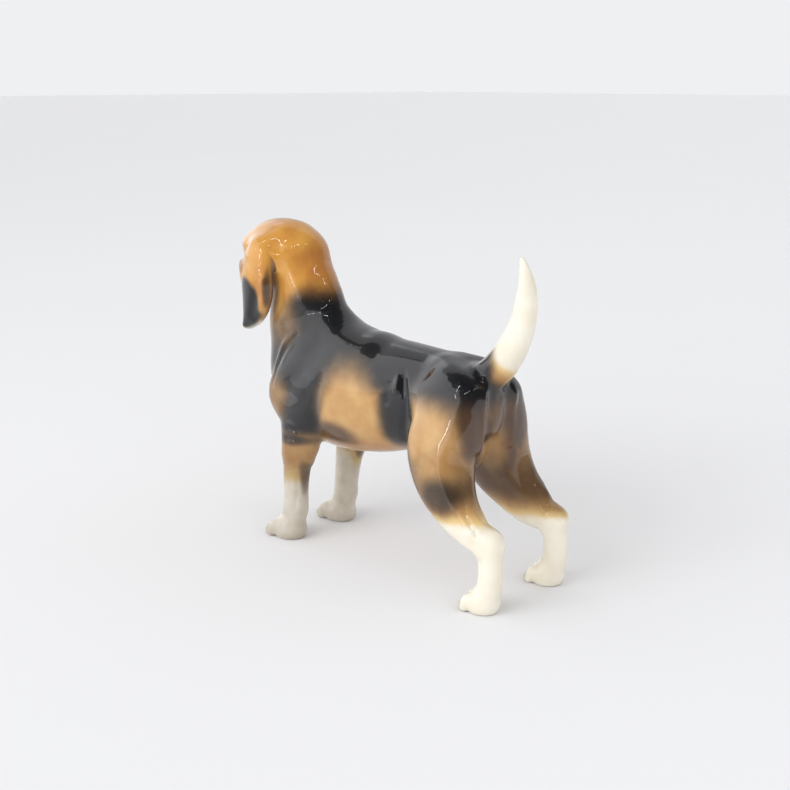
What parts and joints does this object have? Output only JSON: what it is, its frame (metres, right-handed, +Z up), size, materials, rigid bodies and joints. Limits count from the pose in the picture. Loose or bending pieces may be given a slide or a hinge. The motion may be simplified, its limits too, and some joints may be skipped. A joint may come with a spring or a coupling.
{
  "type": "porcelain figurine",
  "caption": "Hollow glazed porcelain hound standing on four flat soles, long ears hanging and tail raised, as a free-standing shelf ornament.",
  "frame": {"origin": "middle of the footprint box, on the surface that the four soles stand on", "axes": "+Z up, -Y towards the nose, +X towards the animal's left side"},
  "size_m": [0.0506, 0.1656, 0.126],
  "materials": {
    "saddle_glaze": "clear gloss glaze over black and tan airbrushed colour",
    "tan_glaze": "clear gloss glaze over golden tan",
    "ear_glaze": "clear gloss glaze over tan that turns black at the front",
    "leg_glaze": "clear gloss glaze over tan that turns cream",
    "cream_glaze": "clear gloss glaze over cream white"
  },
  "bodies": {
    "root": {"torso": "saddle_glaze", "head": "tan_glaze", "tail": "cream_glaze", "ear_left": "ear_glaze", "ear_right": "ear_glaze", "foreleg_left": "leg_glaze", "foreleg_right": "leg_glaze", "hindleg_left": "leg_glaze", "hindleg_right": "leg_glaze"}
  },
  "joints": []
}
